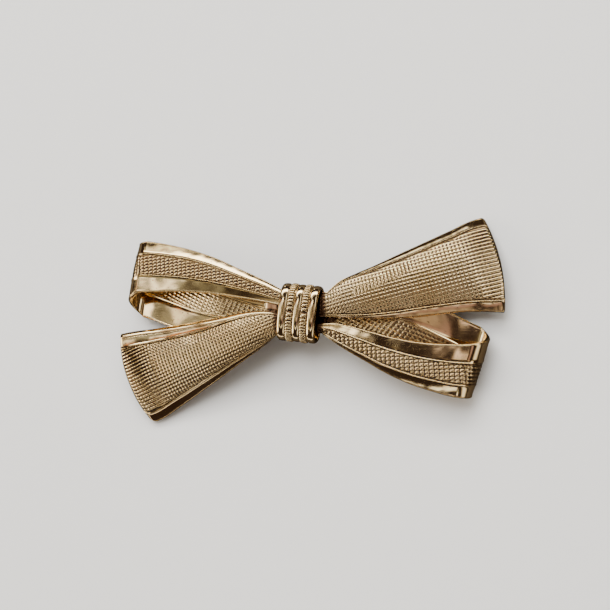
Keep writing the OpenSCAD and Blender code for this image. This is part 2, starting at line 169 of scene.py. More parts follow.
def curve(rows, column, x):
    """Value of a table's column at x, on a smooth curve through its rows."""
    t, v = rows[:, 0], rows[:, column]
    x = np.clip(np.asarray(x, float), t[0], t[-1])
    last = len(t) - 1
    before, after = np.maximum(np.arange(last + 1) - 1, 0), np.minimum(np.arange(last + 1) + 1, last)
    steep = (v[after] - v[before]) / (t[after] - t[before])
    i = np.clip(np.searchsorted(t, x) - 1, 0, last - 1)
    h = t[i + 1] - t[i]
    u = (x - t[i]) / h
    return ((1 + 2 * u) * (1 - u) ** 2 * v[i] + u * (1 - u) ** 2 * h * steep[i]
            + u * u * (3 - 2 * u) * v[i + 1] - u * u * (1 - u) * h * steep[i + 1])


def oval_floor(y):
    """Inside of the knot band's lower half, at a place along the knot."""
    from_middle = (abs(y) / KNOT_INNER_LENGTH) ** OVAL_POWER
    return KNOT_MIDDLE - KNOT_INNER_DEPTH * (1 - from_middle) ** (1 / OVAL_POWER)


def in_band(y, half):
    """Place along the leaning knot of a root at y, on one half of the bow."""
    x = BAND_REACH - half * KNOT_OFFSET[0]
    return (y - half * KNOT_OFFSET[1]) * math.cos(LEAN) + x * math.sin(LEAN)


def band_end(way, half):
    """Room for a root's edge at the band's upper (1) or lower (-1) end, likewise."""
    x = BAND_REACH - half * KNOT_OFFSET[0]
    return way * BAND_ROOM / math.cos(LEAN) + half * KNOT_OFFSET[1] - x * math.tan(LEAN)


BACK_ROOT = max(oval_floor(in_band(BACK_ROOT_INNER, half)) for half in (LEFT, RIGHT)) + SEAT + MARGIN_RAISE


def stack(x, y, z):
    """Points from their coordinates."""
    return np.stack(np.broadcast_arrays(x, y, z), -1)


def blunt(x, q):
    """Moves a root's place along to its blunt end inside the knot, as q goes from 0 to -1."""
    return mix(x, SEAT, np.clip(-q, 0, 1))


def tail_face(length, angle, lean, half):
    """A tail's face: point(q, f), q from the knot to the end and f from its inner to its outer edge, and the
    same sheet laid flat."""
    turn, square = math.radians(angle), math.radians(angle + lean)
    way = np.array([math.cos(turn), math.sin(turn)])
    chord = np.array([-math.sin(square), math.cos(square)]) * TAIL_WIDTH / 2
    root_outer = band_end(1, half)
    outer_off, inner_off = (1, 2) if half == LEFT else (3, 4)

    def point(q, f):
        s = np.clip(q, 0, 1)
        inner, outer = (curve(TAIL_EDGES, column, s) * TAIL_WIDTH for column in (inner_off, outer_off))
        ix = mix(BAND_REACH, length * way[0] - chord[0], s)
        iy = mix(TAIL_ROOT_INNER, length * way[1] - chord[1], s) + inner
        ox = mix(BAND_REACH, length * way[0] + chord[0], s)
        oy = mix(root_outer, length * way[1] + chord[1], s) + outer
        swell = TAIL_END_SWELL * s * s * 4 * f * (1 - f)
        fall = curve(TAIL_ROWS, 2, s)
        low = mix(mix(ROOT_HIGH, TAIL_INNER_CORNER + SHEET, fall),
                  mix(ROOT_LOW, TAIL_OUTER_CORNER + SHEET, fall), f)
        rise = TAIL_CROWN * curve(TAIL_ROWS, 3, s) * curve(TAIL_SECTION, 1, f)
        return stack(blunt(mix(ix, ox, f) + swell * way[0], q), mix(iy, oy, f) + swell * way[1], low + rise)

    return point, lambda q, f: point(q, f)[..., :2]


def loop_face(reach, lean, inner_creep, inset, tuck, half, crease):
    """A loop's outside: point(q, f), q from 0 to 1 on the front, to 2 round the fold and to 3 on the back,
    f from its inner to its outer edge, and the same sheet laid flat about a crease of that lean."""
    slant = math.radians(lean)
    front_outer = band_end(-1, half) + tuck * KNOT_INNER_LENGTH
    inner_spread = 2 if half == LEFT else 3
    middle_x = reach - FOLD_RADIUS * math.cos(slant)
    across = (LOOP_SPREAD + inset) / 2

    def fold_x(y):
        return middle_x + (y + across) * math.tan(slant)

    def front(s, f):
        iy = mix(LOOP_ROOT_INNER, -inset, curve(FRONT_ROWS, inner_spread, s))
        oy = mix(front_outer, -LOOP_SPREAD, curve(FRONT_ROWS, 1, s))
        ix, ox = mix(LOOP_ROOT_X, fold_x(-inset), s), mix(LOOP_ROOT_X, fold_x(-LOOP_SPREAD), s)
        fall = curve(FRONT_ROWS, 5, s)
        low = mix(mix(ROOT_HIGH, FOLD_INNER_HEIGHT + FOLD_RADIUS, fall),
                  mix(ROOT_LOW, FOLD_OUTER_HEIGHT + FOLD_RADIUS, fall), f)
        rise = LOOP_CROWN * curve(FRONT_ROWS, 4, s) * curve(LOOP_SECTION, 1, f)
        return mix(ix, ox, f), mix(iy, oy, f), low + rise

    def fold(k, f):
        iy, oy = -inset + inner_creep * k, -LOOP_SPREAD + FOLD_OUTER_CREEP * k
        rise = LOOP_CROWN * FRONT_ROWS[-1, 4] * (1 - k) * curve(LOOP_SECTION, 1, f)
        out = (FOLD_RADIUS + rise) * np.sin(np.pi * k)
        x = mix(fold_x(iy), fold_x(oy), f) + out * math.cos(slant)
        y = mix(iy, oy, f) - out * math.sin(slant)
        return x, y, mix(FOLD_INNER_HEIGHT, FOLD_OUTER_HEIGHT, f) + (FOLD_RADIUS + rise) * np.cos(np.pi * k)

    def back(s, f):
        end_iy, end_oy = -inset + inner_creep, -LOOP_SPREAD + FOLD_OUTER_CREEP
        iy = mix(BACK_ROOT_INNER, end_iy, curve(BACK_ROWS, 2, s))
        oy = mix(BACK_ROOT_OUTER, end_oy, curve(BACK_ROWS, 1, s))
        x = mix(mix(LOOP_ROOT_X, fold_x(end_iy), s), mix(LOOP_ROOT_X, fold_x(end_oy), s), f)
        end = mix(fold_x(end_iy), fold_x(end_oy), f)
        fold_low = mix(FOLD_INNER_HEIGHT, FOLD_OUTER_HEIGHT, f) - FOLD_RADIUS
        fallen = mix(BACK_LEVEL, fold_low, ease((x - LEVEL_END) / (end - LEVEL_END)))
        z = mix(fallen, BACK_ROOT, ease((LEVEL_START - x) / (LEVEL_START - BAND_REACH)))
        return x, mix(iy, oy, f), z

    def point(q, f):
        q, f = np.broadcast_arrays(np.asarray(q, float), np.asarray(f, float))
        a, b, c = front(np.clip(q, 0, 1), f), fold(np.clip(q - 1, 0, 1), f), back(np.clip(3 - q, 0, 1), f)
        x, y, z = (np.where(q <= 1, i, np.where(q < 2, j, k)) for i, j, k in zip(a, b, c))
        return stack(blunt(blunt(x, q), 3 - q), y, z)

    def flat(q, f):
        q, f = np.broadcast_arrays(np.asarray(q, float), np.asarray(f, float))
        k = np.clip(q - 1, 0, 1)
        out = np.array([math.cos(math.radians(crease)), -math.sin(math.radians(crease))])
        y = mix(-inset + inner_creep * k, -LOOP_SPREAD + FOLD_OUTER_CREEP * k, f)
        turned = stack(fold_x(y), y, 0)[..., :2]
        place = point(q, f)[..., :2]
        behind = (place - turned) @ out
        round_fold = turned + out * (math.pi * FOLD_RADIUS * k)[..., None]
        past = place - out * (2 * behind - math.pi * FOLD_RADIUS)[..., None]
        return np.where((q <= 1)[..., None], place, np.where((q < 2)[..., None], round_fold, past))

    return point, flat


# Meshes


def make_piece(name, points, triangles, attributes, material):
    """A piece of the brooch from points in millimetres and triangles, without the points that none uses."""
    used = np.unique(triangles)
    place = np.zeros(len(points), np.int32)
    place[used] = np.arange(len(used))
    triangles = place[triangles]
    mesh = bpy.data.meshes.new(name)
    mesh.vertices.add(len(used))
    mesh.vertices.foreach_set("co", (points[used] * MM).astype(np.float32).ravel())
    mesh.loops.add(triangles.size)
    mesh.loops.foreach_set("vertex_index", triangles.ravel())
    mesh.polygons.add(len(triangles))
    mesh.polygons.foreach_set("loop_start", np.arange(0, triangles.size, 3, dtype=np.int32))
    for key, values in attributes.items():
        made = mesh.attributes.new(key, "FLOAT", "POINT")
        made.data.foreach_set("value", values.ravel()[used].astype(np.float32))
    mesh.update(calc_edges=True)
    mesh.shade_smooth()
    mesh.materials.append(material)
    piece = bpy.data.objects.new(name, mesh)
    bpy.context.scene.collection.objects.link(piece)
    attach(piece, "root")
    return piece


def quads_to_triangles(a, b, c, d):
    """Triangles of four arrays of corners, without those that have shrunk to a line."""
    tris = np.concatenate([np.stack([a, b, c], -1).reshape(-1, 3), np.stack([a, c, d], -1).reshape(-1, 3)])
    whole = (tris[:, 0] != tris[:, 1]) & (tris[:, 1] != tris[:, 2]) & (tris[:, 0] != tris[:, 2])
    return tris[whole]


# Ribbons. Arrays hold a row for each line across a ribbon, and a column for each place across it

# Points along a ribbon for measuring it, places across for its lines' lean, places across the band
RULER_MARKS = 1501
LEAN_PLACES = 17
BAND_SAMPLES = 13

# One groove and one crest of the texture: phase and height
GROOVE = np.array([[0.0, 0.0], [0.11, 0.34], [0.27, 0.78], [0.50, 1.0], [0.73, 0.78], [0.89, 0.34]])
TEXTURE_LOW = -0.06
TEXTURE_HIGH = 0.1
# Most relief, unevenness of the wear, and width over which the texture fades out at a margin
RELIEF_TOP = 1.15
WEAR = 0.10
MARGIN_FADE = 0.14
# Distance from a ribbon's start at which the texture sets in, and over which it comes up
TEXTURE_START = 0.1
START_FADE = 0.3
# Width at which a row of the texture is spent
SPENT = 0.01

# A margin from the band to the edge: widths on a margin that is wide enough for all its parts, and for each
# part places across it and heights
FULL_MARGIN = 1.15
GROOVE_WIDTH = 0.09
BEAD_WIDTH = 0.2
CREASE_WIDTH = 0.08
GROOVE_ROWS = [(0, -0.02), (0.5, -0.06)]
BEAD_ROWS = [(0, 0.0), (0.2, 0.09), (0.42, 0.14), (0.65, 0.145), (0.88, 0.105)]
CHANNEL_ROWS = [(0, 0.085), (0.2, 0.072), (0.5, 0.066), (0.8, 0.078), (0.97, 0.1)]
BEVEL_ROWS = [(0.08, 0.122), (0.26, 0.12), (0.46, 0.085), (0.66, 0.02), (0.84, -0.07), (0.96, -0.17)]

# The underside's depth below the face, how much of the relief it follows and how deep, and the least sheet
UNDER = 0.47
PRESSED_THROUGH = 0.35
PRESSED_DEEPEST = -0.12
LEAST_SHEET = 0.12
# Heights of the points on an edge, from the face to the underside, and how much they follow a lip down
EDGE_HEIGHTS = (-0.24, -0.36)
EDGE_DROP = 0.3

# The rolled lip of a cut end: shares of its width, how far it turns down, its face, clearance of the texture
LIP_SHARES = np.array([1.0, 0.82, 0.64, 0.48, 0.34, 0.22, 0.12, 0.04, 0.0])
LIP_DROP = 0.36
LIP_FACE = 0.03
LIP_CLEAR = 0.02
# The lip's share of its full width at the inner edge, and where across the ribbon it widens, over what
LIP_INNER = 0.35
LIP_WIDENS = 0.2
LIP_WIDENING = 0.5
# How fast the texture fades, and how much every height evens out, as the lip turns down
LIP_FADE = 2.5
LIP_EVENS = 0.7
# Distances over which the lines come to lean, from a root and from a cut end
ROOT_SETTLE = 4.0
END_SETTLE = 1.5
# The arch near a cut end: distances from the end to its top and to its foot, and its share at the edges
ARCH_TOP = 2.6
ARCH_FOOT = 5.4
ARCH_EDGES = 0.3

# Dents of the polished sheet: sizes, and depth as a share of the size
DENT_SIZES = (7.0, 4.4, 3.1, 2.1, 1.4)
DENT_DEPTH = 0.0018
# Width over which the grime and painted shade beside the knot thin out, and dirt in the print on the
# underside
GRIME_AND_SHADE_EDGE = 0.9
UNDER_DIRT = 0.6
# Height under which a margin is a hollow that holds dirt, and height over which it fills
HOLLOW = 0.07
HOLLOW_FILLS = 0.14
# How rough the texture leaves the metal: this, less the texture's depth
ROUGHENED = 1.6


class Ruler:
    """Distances in millimetres along the middle of a face, and the places q that lie there."""

    def __init__(self, point, span):
        self.places = np.linspace(*span, RULER_MARKS)
        steps = np.linalg.norm(np.diff(point(self.places, 0.5), axis=0), axis=1)
        self.marks = np.concatenate([[0], np.cumsum(steps)])
        self.length = self.marks[-1]

    def place(self, distance):
        return np.interp(distance, self.marks, self.places)


def texture_marks(count):
    """Phases and heights of so many grooves side by side."""
    return (np.arange(count)[:, None] + GROOVE[None, :, 0]).ravel(), np.tile(GROOVE[:, 1], count)


def lines_along(length, weave):
    """The lines across a ribbon: distance from its start, height, and how far into the lip of a cut end. A
    loop has no lip, and its last line is at its second root."""
    lip = weave["lip"]
    count = int(length / weave["line_pitch"])
    phase, height = texture_marks(count)
    share = phase / count
    u = length * share * (1 + weave["line_growth"] * (share - 1))
    keep = u < length - lip - LIP_CLEAR
    ending = LIP_SHARES * lip if lip else np.zeros(1)
    in_lip = 1 - LIP_SHARES if lip else np.zeros(1)
    lines = (
        np.concatenate([u[keep], length - ending]),
        np.concatenate([height[keep], np.full(len(ending), 0.5)]),
        np.concatenate([np.zeros(keep.sum()), in_lip]),
    )
    return [values[:, None] for values in lines]


def lean_of_lines(ruler, point, flat, u, weave):
    """How far each line runs ahead, at even places across the ribbon, to stand square on the rows."""
    turn = math.radians(weave["direction"])
    q = ruler.places
    across = np.linspace(0, 1, LEAN_PLACES)
    forth = flat(q[:, None], across) @ [math.cos(turn), math.sin(turn)]
    wide = np.linalg.norm(point(q, 1.0) - point(q, 0.0), axis=-1)
    forth += weave["bow"] * (wide / wide[-1])[:, None] ** 2 * (2 * across - 1) ** 2
    aim = np.interp(u, ruler.marks, forth[:, LEAN_PLACES // 2])
    lean = np.concatenate([np.interp(aim, column, ruler.marks) for column in forth.T], 1) - u
    to_lip = ruler.length - weave["lip"] - u
    return lean * (ease(u / ROOT_SETTLE) * ease(to_lip / (END_SETTLE if weave["lip"] else ROOT_SETTLE)))


def between_columns(table, f):
    """Values at places f across a table whose columns are evenly spread."""
    last = table.shape[1] - 1
    cell = np.clip(f * last, 0, last - 0.001)
    low = cell.astype(int)
    ends = np.take_along_axis(table, low, 1), np.take_along_axis(table, low + 1, 1)
    return mix(*ends, cell - low)


def rows_of_band(ruler, flat, forward, inner_share, band_share, weave, side):
    """The rows of the texture: their places on each line, as shares of the band's width, and heights."""
    turn = math.radians(weave["direction"])
    sample = np.linspace(0, 1, BAND_SAMPLES)
    place = inner_share + sample * band_share
    over = flat(ruler.place(forward(place)), place) @ [-math.sin(turn), math.cos(turn)]
    over *= side / weave["row_pitch"]
    first = math.floor(over.min())
    phase, height = texture_marks(math.ceil(over.max()) - first)
    return np.stack([np.interp(first + phase, line, sample) for line in over]), height


def margin_profile(width, bevel, creased):
    """Places across margins of these widths, from the band to the edge, and heights: a groove, a bead, a
    shallow channel, a crease (1 where it shows) and a rolled bevel."""
    scale = np.minimum(1, width / FULL_MARGIN)
    groove, bead, crease, bevel = (size * scale for size in (GROOVE_WIDTH, BEAD_WIDTH, CREASE_WIDTH, bevel))
    channel = width - groove - bead - crease - bevel
    crease_rows = [(0.1, 0.102), (0.5, mix(0.11, 0.055, creased)), (0.9, 0.116 - 0.018 * creased)]
    parts = [
        (groove, GROOVE_ROWS),
        (bead, BEAD_ROWS),
        (channel, CHANNEL_ROWS),
        (crease, crease_rows),
        (bevel, BEVEL_ROWS),
    ]
    places, heights, start = [], [], np.zeros_like(width)
    for size, rows in parts:
        for share, height in rows:
            places.append(start + share * size)
            heights.append(height * scale)
        start = start + size
    return np.concatenate(places, 1), np.concatenate(heights, 1)


def woven_relief(weave, q, t, row_height, line_height, rng):
    """Relief of rows and lines, from 0 in the pits to 1 on the peaks, and how deep it is."""
    wear = 1 + WEAR * (rng.random(t.shape) - 0.5)
    rows, lines, peaks, pits, depth = weave["shares"](q, t)
    relief = (rows * row_height + lines * line_height) / (rows + lines)
    relief = mix(relief, np.minimum(row_height, line_height), peaks)
    relief = mix(relief, np.maximum(row_height, line_height) ** 2, pits) * wear
    return relief, depth


def rounded_corners(place, to_end, width, radii):
    """Places across, drawn in at the inner and the outer corner of a cut end."""
    near = [np.clip(1 - to_end / radius, 0, 1) for radius in radii]
    inner, outer = (radius * (1 - np.sqrt(1 - n ** 2)) / width for radius, n in zip(radii, near))
    return mix(inner, 1 - outer, place)


def end_arch(height, to_end, place):
    """Lift of the sheet near a cut end, less towards the edges."""
    falling = 1 - (1 - to_end / ARCH_TOP) ** 2
    rising = ease((ARCH_FOOT - to_end) / (ARCH_FOOT - ARCH_TOP))
    across = mix(ARCH_EDGES, 1.0, ease(3.5 * place * (1 - place)))
    return height * np.where(to_end < ARCH_TOP, falling, rising) * across


def dents(u, v, rng):
    """Slight unevenness of polished sheet, in millimetres, over places in millimetres."""
    total = np.zeros(np.broadcast(u, v).shape)
    for size in DENT_SIZES:
        angle, phase = rng.random(2) * 2 * np.pi
        total += size * np.sin((u * math.cos(angle) + v * math.sin(angle)) * 2 * np.pi / size + phase)
    return DENT_DEPTH * total


def normals(point, along, place, span, side):
    """Outward directions of a face at places along it and across it."""
    step = 1e-4
    along = np.clip(along, *span)
    ahead = point(np.clip(along + step, *span), place) - point(np.clip(along - step, *span), place)
    over = point(along, np.clip(place + step, 0, 1)) - point(along, np.clip(place - step, 0, 1))
    out = np.cross(ahead, over) * side
    return out / np.linalg.norm(out, axis=-1, keepdims=True)


def sheet_rings(base, out, heights, drop):
    """Points round each line: over the face, round the outer edge, back along the underside, which follows
    the face as pressed sheet does, and round the inner edge."""
    height = heights - drop
    face = base + out * height[..., None]
    sunk = -UNDER + PRESSED_THROUGH * np.maximum(height, PRESSED_DEEPEST)
    under = base + out * np.minimum(sunk, height - LEAST_SHEET)[..., None]
    inner_edge, outer_edge = (
        [(base[:, c] + out[:, c] * (h - EDGE_DROP * drop[:, c, None]))[:, None] for h in EDGE_HEIGHTS]
        for c in (0, -1)
    )
    return np.concatenate([face, *outer_edge, under[:, ::-1], *inner_edge[::-1]], 1)


def blunt_end(line):
    """A copy of a line of points, moved to the root's blunt end inside the knot."""
    end = line.copy()
    end[..., 0] = SEAT
    return end


def merged_columns(before, across, band, after):
    """For each column of the face, the one that it falls together with: a spent row, the margin's nearest."""
    rows = across.shape[1]
    columns = np.tile(np.arange(before + rows + after), (len(across), 1))
    woven = columns[:, before:before + rows]
    woven[across < SPENT] = before - 1
    woven[band - across < SPENT] = before + rows
    return columns


def shell_triangles(lines, face_columns, merge):
    """Triangles of a closed sheet whose lines each run over its face, round one edge, back along its
    underside and round the other edge. merge gives the columns that the face's columns fall together with."""
    ring = 2 * face_columns + 4
    index = np.arange(lines * ring).reshape(lines, ring)
    n = face_columns
    top = np.take_along_axis(index[:, :n], merge, 1)
    bottom = np.take_along_axis(index[:, n + 2:2 * n + 2][:, ::-1], merge, 1)
    outer_edge, inner_edge = index[:, n:n + 2], index[:, 2 * n + 2:]
    index = np.concatenate([top, outer_edge, bottom[:, ::-1], inner_edge], 1)
    a, b = index[:-1], index[1:]
    triangles = [quads_to_triangles(a, b, np.roll(b, -1, 1), np.roll(a, -1, 1))]
    for row in (0, -1):
        t, b, out, back = top[row], bottom[row], outer_edge[row], inner_edge[row]
        outer_corner = [[t[-1], out[0], out[1]], [t[-1], out[1], b[-1]]]
        inner_corner = [[t[0], b[0], back[0]], [t[0], back[0], back[1]]]
        cap = np.concatenate([quads_to_triangles(t[:-1], t[1:], b[1:], b[:-1]), outer_corner, inner_corner])
        triangles.append(cap if row == 0 else cap[:, ::-1])
    return np.concatenate(triangles)


def face_dirt(relief, in_height, out_height, power):
    """Dirt in the hollows of the face, from 0 to 1. With a lower power it climbs further out of the pits."""
    low_in, low_out = (np.clip((HOLLOW - height) / HOLLOW_FILLS, 0, 1) for height in (in_height, out_height))
    bevel = len(BEVEL_ROWS)
    low_in[:, :bevel] = 0
    low_out[:, -bevel:] = 0
    return np.concatenate([low_in, np.clip(1 - relief, 0, 1) ** power, low_out], 1)


def ribbon(name, faces, span, margins, weave, side, half, material):
    """A stamped ribbon: its raised margins, and a band with rows in one direction, which run out at both
    margins, crossed by lines. side is 1 where the outer edge is on the left of the way out from the knot,
    and -1 where it is on the right."""
    point, flat = faces
    rng = np.random.default_rng(weave["seed"])
    ruler = Ruler(point, span)
    u, line_height, in_lip = lines_along(ruler.length, weave)
    q = ruler.place(u)
    to_end = ruler.length - u
    lean = lean_of_lines(ruler, point, flat, u, weave)

    def forward(f):
        return u + between_columns(lean, f)

    # Places across it: the inner margin, the rows of the band, the outer margin
    width = np.linalg.norm(point(q, 1.0) - point(q, 0.0), axis=-1)
    inner_share, outer_share = margins(q)
    inner_width, outer_width = inner_share * width, outer_share * width
    band = width - inner_width - outer_width
    t, row_height = rows_of_band(ruler, flat, forward, inner_share, band / width, weave, side)
    across = t * band
    in_place, in_height = margin_profile(inner_width, weave["inner_bevel"], weave["crease"])
    out_place, out_height = margin_profile(outer_width, weave["outer_bevel"], 0)
    in_place, in_height = in_place[:, ::-1], in_height[:, ::-1]
    place = np.concatenate([
        inner_width - in_place,
        inner_width + across,
        width - outer_width + out_place,
    ], 1) / width

    # Places along it: the lip narrows towards the inner edge, and the corners are rounded
    along = forward(np.clip(place, inner_share, 1 - outer_share))
    lip_share = mix(LIP_INNER, 1.0, ease((place - LIP_WIDENS) / LIP_WIDENING))
    along = ruler.place(np.where(in_lip > 0, ruler.length - to_end * lip_share, along))
    if weave["lip"]:
        place = rounded_corners(place, to_end, width, weave["corners"])

    # Heights over the plain sheet
    relief, depth = woven_relief(weave, q, t, row_height, line_height, rng)
    shown = ease(np.minimum(across, band - across) / MARGIN_FADE)
    shown = shown * (ease((u - TEXTURE_START) / START_FADE) * (1 - np.minimum(1, LIP_FADE * in_lip)))
    relief = np.clip(mix(0.5, relief, shown * depth), 0, RELIEF_TOP)
    heights = np.concatenate([in_height, mix(TEXTURE_LOW, TEXTURE_HIGH, relief), out_height], 1)
    heights = mix(heights, LIP_FACE, LIP_EVENS * in_lip)
    drop = LIP_DROP * lip_share * (1 - np.sqrt(1 - (0.999 * in_lip) ** 2))
    lift = dents(u, place * width, rng) + end_arch(weave["arch"], to_end, place)
    out = normals(point, along, place, span, side)
    rings = sheet_rings(point(along, place) + out * lift[..., None], out, heights, drop)

    # Each root has a blunt end, and a cut end has none
    blunt_ends = [1, 0 if weave["lip"] else 1]
    last = [] if weave["lip"] else [blunt_end(rings[-1:])]
    rings = np.concatenate([blunt_end(rings[:1]), rings, *last], 0)
    columns = merged_columns(in_place.shape[1], across, band, out_place.shape[1])
    columns = np.pad(columns, [blunt_ends, [0, 0]], "edge")
    triangles = shell_triangles(len(rings), columns.shape[1], columns)
    points = rings.reshape(-1, 3)
    points[:, :2] = half * points[:, :2] + BOW_MIDDLE

    # Dirt in the hollows, and grime with painted shade near the knot
    grime_and_shade = [ease((reach - at) / GRIME_AND_SHADE_EDGE) for reach, at in zip(weave["grime_and_shade"], (u, to_end))]
    recess = np.maximum(face_dirt(relief, in_height, out_height, weave["darkening"]), np.maximum(*grime_and_shade))
    behind = np.concatenate([0 * in_height, UNDER_DIRT * relief, 0 * out_height], 1)
    behind = np.maximum(behind, np.maximum(*grime_and_shade))
    textured = np.concatenate([0 * in_height, shown * (ROUGHENED - depth), 0 * out_height], 1)
    edge = np.zeros((len(u), len(EDGE_HEIGHTS)))
    attributes = {
        key: np.pad(np.concatenate([above, edge, below[:, ::-1], edge], 1), [blunt_ends, [0, 0]], "edge")
        for key, above, below in (("recess", recess, behind), ("textured", textured, textured))
    }
    return make_piece(name, points, triangles[:, ::side], attributes, material)


# The knot

# Its ridges: width as a share of the band, 1 where milled
KNOT_RIDGES = [(0.22, 0), (0.18, 1), (0.20, 0), (0.18, 1), (0.22, 0)]
# Sections of a smooth and of a milled ridge: place across, height
RIDGE_SECTIONS = [
    [(0, 0), (0.05, 0.2), (0.12, 0.42), (0.22, 0.6), (0.34, 0.7), (0.5, 0.73), (0.66, 0.7), (0.78, 0.6),
     (0.88, 0.42), (0.95, 0.2)],
    [(0, 0), (0.04, 0.35), (0.1, 0.7), (0.18, 0.9), (0.3, 0.98), (0.5, 1.0), (0.7, 0.98), (0.82, 0.9),
     (0.9, 0.7), (0.96, 0.35)],
]
# Share of a milled ridge on each side that the cuts leave whole
UNCUT = 0.08
# One cut of a milled ridge: phase, height
CUT = np.array([
    [0.0, 0.0], [0.13, 0.08], [0.23, 0.8], [0.33, 0.97], [0.55, 1.0], [0.75, 0.97], [0.86, 0.8], [0.96, 0.08],
])
CUT_DEPTH = 0.2
# The ridges' height under their solid's, so that they stay inside it
RIDGE_SHOWN = 0.98 * RIDGE_RAISE
# The band as it shows, a little narrower than its solid and further left
KNOT_SEEN_WIDTH = 5.45
KNOT_SEEN_SHIFT = -0.15
# Inside of the band: place across, height
BAND_INSIDE = np.array([
    (0.5, KNOT_WALL - 0.03), (0.5, 0.03), (0.485, 0.0), (0.25, 0.0), (0.0, 0.0), (-0.25, 0.0), (-0.485, 0.0),
    (-0.5, 0.03), (-0.5, KNOT_WALL - 0.03),
])
# Dirt at the foot of the ridges and inside the band
RIDGE_DIRT = 0.75
INSIDE_DIRT = 0.3


def ridge_profile():
    """The band's outside: places across as shares, heights, 1 where milled, depths below each ridge's top."""
    rows, begin = [], 0
    for width, cut in KNOT_RIDGES:
        x, height = np.array(RIDGE_SECTIONS[cut]).T
        milled = cut * ((x > UNCUT) & (x < 1 - UNCUT))
        rows.append([begin + x * width, height, milled, 1 - height / height.max()])
        begin += width
    return np.concatenate(rows, 1)


def knot(name, material):
    """The ribbed band: three polished ridges and two milled ones, round a closed oval."""
    places, heights, milled, depths = ridge_profile()
    turns = (np.arange(OVAL_CUTS)[:, None] + CUT[None, :, 0]).ravel() / OVAL_CUTS
    slots = (1 - np.tile(CUT[:, 1], OVAL_CUTS)[:, None]) * milled
    c, s = np.cos(2 * np.pi * turns), np.sin(2 * np.pi * turns)
    iy = KNOT_INNER_LENGTH * np.sign(c) * np.abs(c) ** (2 / OVAL_POWER)
    iz = KNOT_INNER_DEPTH * np.sign(s) * np.abs(s) ** (2 / OVAL_POWER)
    steep_y = np.sign(c) * (np.abs(iy) / KNOT_INNER_LENGTH) ** (OVAL_POWER - 1) / KNOT_INNER_LENGTH
    steep_z = np.sign(s) * (np.abs(iz) / KNOT_INNER_DEPTH) ** (OVAL_POWER - 1) / KNOT_INNER_DEPTH
    size = np.hypot(steep_y, steep_z)
    inside_x, inside_lift = BAND_INSIDE.T
    outer = KNOT_WALL + np.maximum(RIDGE_SHOWN * heights - slots * CUT_DEPTH, 0.0)
    lift = np.concatenate([outer, np.broadcast_to(inside_lift, (len(turns), len(inside_lift)))], 1)
    x = np.concatenate([places - 0.5, inside_x])[None] * KNOT_SEEN_WIDTH
    along = iy[:, None] + (steep_y / size)[:, None] * lift
    points = stack(
        x * math.cos(LEAN) + along * math.sin(LEAN) + BOW_MIDDLE[0] + KNOT_OFFSET[0] + KNOT_SEEN_SHIFT,
        along * math.cos(LEAN) - x * math.sin(LEAN) + BOW_MIDDLE[1] + KNOT_OFFSET[1],
        iz[:, None] + (steep_z / size)[:, None] * lift + KNOT_MIDDLE,
    )
    index = np.arange(lift.size).reshape(lift.shape)
    following = np.roll(index, -1, 0)
    triangles = quads_to_triangles(index, np.roll(index, -1, 1), np.roll(following, -1, 1), following)
    recess = np.clip(RIDGE_DIRT * depths ** 2 + slots, 0, 1)
    inside = np.zeros((len(turns), len(inside_lift)))
    attributes = {
        "recess": np.concatenate([recess, inside + INSIDE_DIRT], 1),
        "textured": np.concatenate([np.broadcast_to(milled, slots.shape), inside], 1),
    }
    return make_piece(name, points.reshape(-1, 3), triangles, attributes, material)


# Materials


class Wire:
    """A number in a material. Python's operators on it add Math nodes."""

    def __init__(self, finish, socket):
        self.finish = finish
        self.socket = socket

    def math(self, operation, first, second):
        return self.finish.node("ShaderNodeMath", {"operation": operation}, {0: first, 1: second})

    def __add__(self, other):
        return self.math("ADD", self, other)

    def __radd__(self, other):
        return self.math("ADD", other, self)

    def __sub__(self, other):
        return self.math("SUBTRACT", self, other)

    def __rsub__(self, other):
        return self.math("SUBTRACT", other, self)

    def __mul__(self, other):
        return self.math("MULTIPLY", self, other)

    def __rmul__(self, other):
        return self.math("MULTIPLY", other, self)

    def __pow__(self, other):
        return self.math("POWER", self, other)

    def __abs__(self):
        return self.finish.node("ShaderNodeMath", {"operation": "ABSOLUTE"}, {0: self})

    def clamp(self):
        return self.finish.node("ShaderNodeClamp", {}, {"Value": self})


